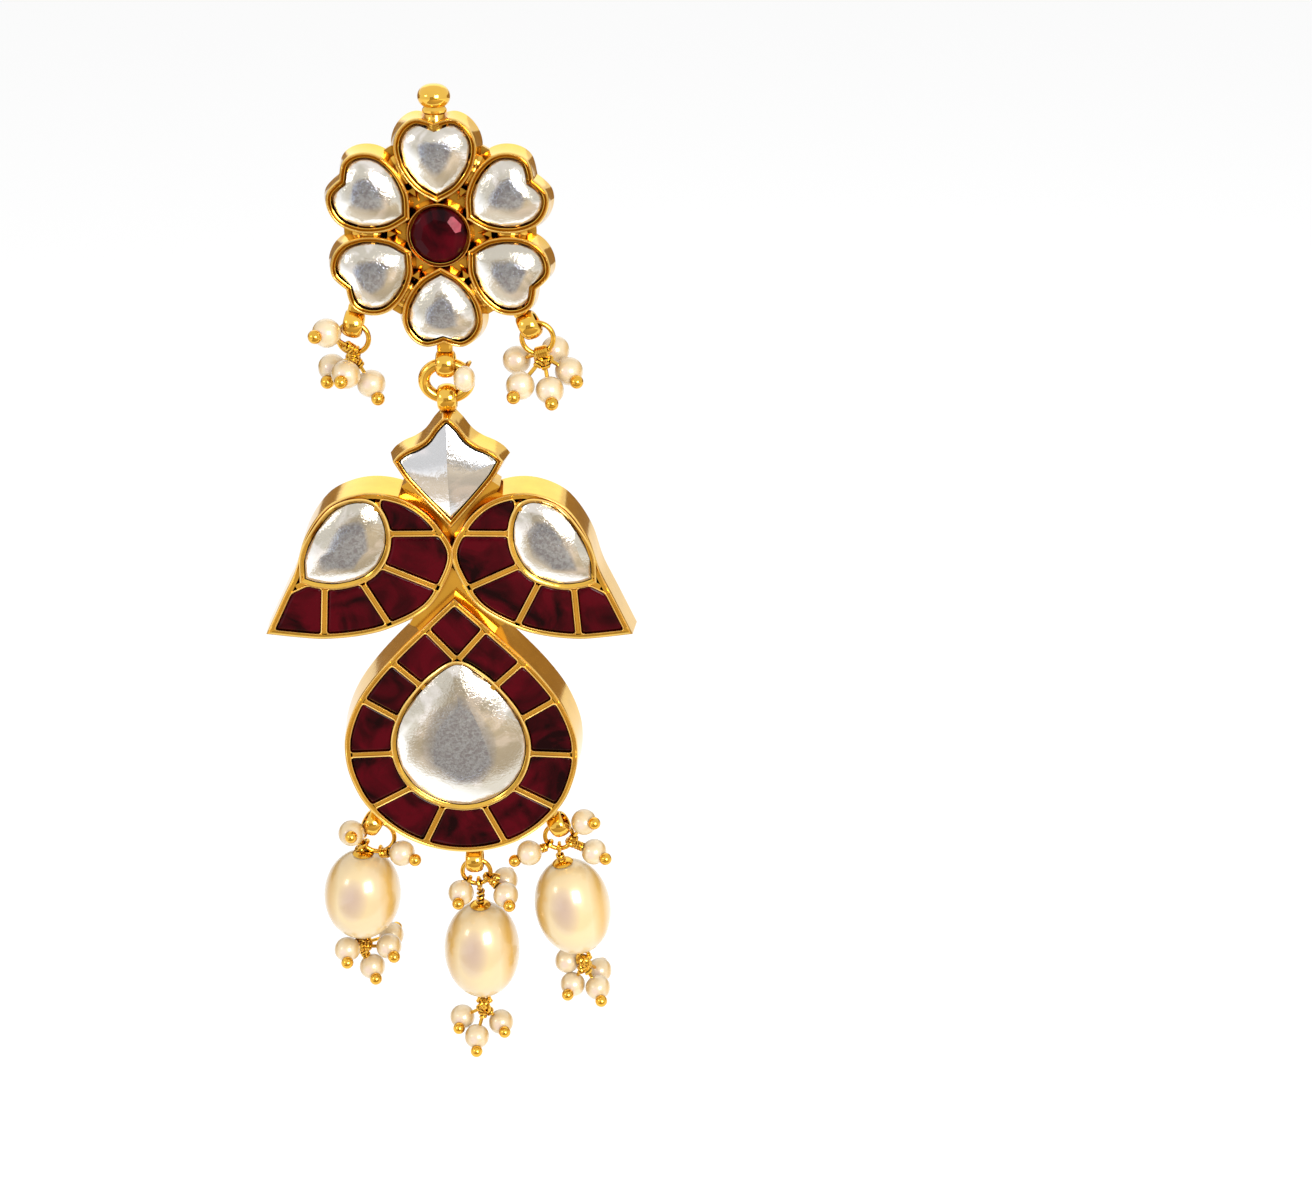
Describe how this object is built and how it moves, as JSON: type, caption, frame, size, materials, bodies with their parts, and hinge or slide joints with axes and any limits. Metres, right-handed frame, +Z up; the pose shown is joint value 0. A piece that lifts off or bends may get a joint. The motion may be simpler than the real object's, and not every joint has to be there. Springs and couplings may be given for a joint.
{
  "type": "drop earring",
  "caption": "Kundan-style drop earring: a flower stud, an oval link and a winged teardrop pendant with hanging pearls.",
  "frame": {"origin": "the root of the ear post, in the flat back of the flower, at the flower's centre", "axes": "+Z up as worn, the front faces -Y, +X to the viewer's right seen from the front"},
  "size_m": [0.0379, 0.0154, 0.1058],
  "materials": {
    "gold": "polished gold plating",
    "antique_gold": "darkened gold plating",
    "clear_stone": "flat-cut clear stone over foil",
    "red_stone": "deep red stone over foil",
    "pearl": "lustrous cream pearl, its pins fused in where small"
  },
  "bodies": {
    "stud": {"flower_setting": "gold", "ear_post": "gold", "centre_stone": "red_stone", "petal_stone_1": "clear_stone", "petal_stone_2": "clear_stone", "petal_stone_3": "clear_stone", "petal_stone_4": "clear_stone", "petal_stone_5": "clear_stone", "petal_stone_6": "clear_stone", "jump_ring_upper_left": "antique_gold", "jump_ring_upper_right": "antique_gold", "side_pearls_left": "pearl", "side_pearls_right": "pearl"},
    "link": {"link_ring": "gold", "ring_pearl": "pearl"},
    "drop": {"drop_setting": "gold", "jump_ring_lower_left": "antique_gold", "jump_ring_lower_centre": "antique_gold", "jump_ring_lower_right": "antique_gold", "eye_pin_left": "antique_gold", "eye_pin_centre": "antique_gold", "eye_pin_right": "antique_gold", "kite_stone": "clear_stone", "wing_stone_left": "clear_stone", "wing_stone_right": "clear_stone", "drop_stone": "clear_stone", "wing_inlay_left_1": "red_stone", "wing_inlay_left_2": "red_stone", "wing_inlay_left_3": "red_stone", "wing_inlay_left_4": "red_stone", "wing_inlay_left_5": "red_stone", "wing_inlay_right_1": "red_stone", "wing_inlay_right_2": "red_stone", "wing_inlay_right_3": "red_stone", "wing_inlay_right_4": "red_stone", "wing_inlay_right_5": "red_stone", "border_inlay_1": "red_stone", "border_inlay_2": "red_stone", "border_inlay_3": "red_stone", "border_inlay_4": "red_stone", "border_inlay_5": "red_stone", "border_inlay_6": "red_stone", "border_inlay_7": "red_stone", "border_inlay_8": "red_stone", "border_inlay_9": "red_stone", "border_inlay_10": "red_stone", "border_inlay_11": "red_stone", "border_inlay_12": "red_stone", "pearl_left": "pearl", "pearl_centre": "pearl", "pearl_right": "pearl", "top_pearl_left_1": "pearl", "top_pearl_left_2": "pearl", "top_pearl_centre_1": "pearl", "top_pearls_centre_2": "pearl", "top_pearl_right_1": "pearl", "top_pearls_right_2": "pearl", "foot_pearls_left": "pearl", "foot_pearls_centre": "pearl", "foot_pearls_right": "pearl"}
  },
  "joints": [
    {"name": "link_swing", "type": "hinge", "parent": "stud", "child": "link", "pos_m": [0, -0.00115, -0.0127], "axis": [1, 0, 0], "range_deg": [-50, 50]},
    {"name": "drop_swing", "type": "hinge", "parent": "link", "child": "drop", "pos_m": [0, -0.00115, -0.01615], "axis": [1, 0, 0], "range_deg": [-40, 40]}
  ]
}
